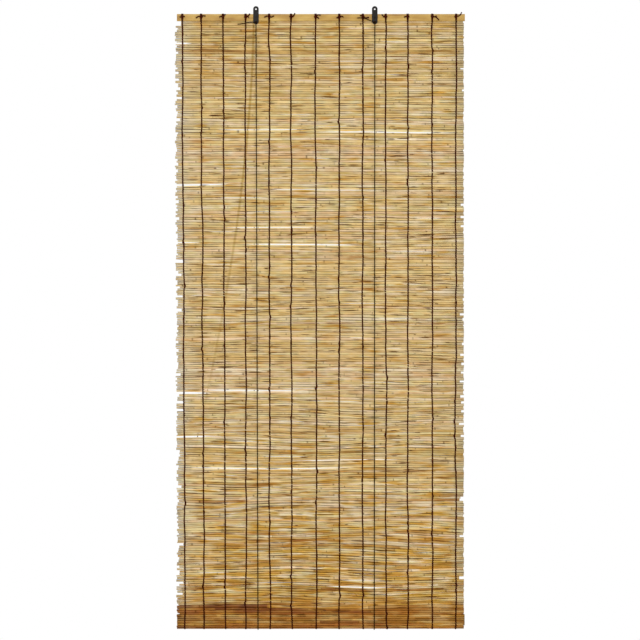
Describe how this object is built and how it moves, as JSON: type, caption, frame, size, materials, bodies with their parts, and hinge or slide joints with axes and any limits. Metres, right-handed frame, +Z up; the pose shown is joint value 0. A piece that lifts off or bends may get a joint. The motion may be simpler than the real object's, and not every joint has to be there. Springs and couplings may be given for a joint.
{
  "type": "reed roll-up blind",
  "caption": "Window blind of horizontal reeds bound with dark twine under a wooden head batten, hung by steel plates and rolled up from the foot by lift cords over pulleys.",
  "frame": {"origin": "midway between the two hanging holes, on the back faces of the hanger plates", "axes": "+X across the width to the right as seen from the front, the front faces -Y, +Z up"},
  "size_m": [0.9419, 0.0343, 2.0294],
  "materials": {
    "reed": "dried split reed, straw to ochre, with darker joints",
    "batten_wood": "planed softwood lath, unvarnished",
    "lath_wood": "sawn softwood lath",
    "plate_steel": "charcoal powder coat",
    "rivet_steel": "darkened steel",
    "pulley_nylon": "moulded nylon",
    "lift_cord": "twisted olive-brown cord",
    "binding_twine": "twisted dark brown twine"
  },
  "bodies": {
    "blind": {"reed_mat": "reed", "head_batten": "batten_wood", "hem_lath": "lath_wood", "hanger_plates": "plate_steel", "pulley_rivets": "rivet_steel", "left_lift_cord": "lift_cord", "right_lift_cord": "lift_cord", "left_cord_tie": "lift_cord", "right_cord_tie": "lift_cord", "draw_cord_knot": "lift_cord", "draw_cord_hitch": "lift_cord", "twine_01": "binding_twine", "twine_02": "binding_twine", "twine_03": "binding_twine", "twine_04": "binding_twine", "twine_05": "binding_twine", "twine_06": "binding_twine", "twine_07": "binding_twine", "twine_08": "binding_twine", "twine_09": "binding_twine", "twine_10": "binding_twine", "twine_11": "binding_twine", "twine_12": "binding_twine", "twine_13": "binding_twine"},
    "left_pulley": {"left_pulley": "pulley_nylon"},
    "right_pulley": {"right_pulley": "pulley_nylon"}
  },
  "joints": [
    {"name": "right_pulley_spin", "type": "hinge", "parent": "blind", "child": "right_pulley", "pos_m": [0.193, 0.0103, -0.027], "axis": [0, 1, 0], "continuous": true},
    {"name": "left_pulley_spin", "type": "hinge", "parent": "blind", "child": "left_pulley", "pos_m": [-0.193, 0.0103, -0.027], "axis": [0, 1, 0], "continuous": true}
  ],
  "couplings": [
    {"joint": "right_pulley_spin", "follows": "left_pulley_spin", "ratio": 1}
  ]
}
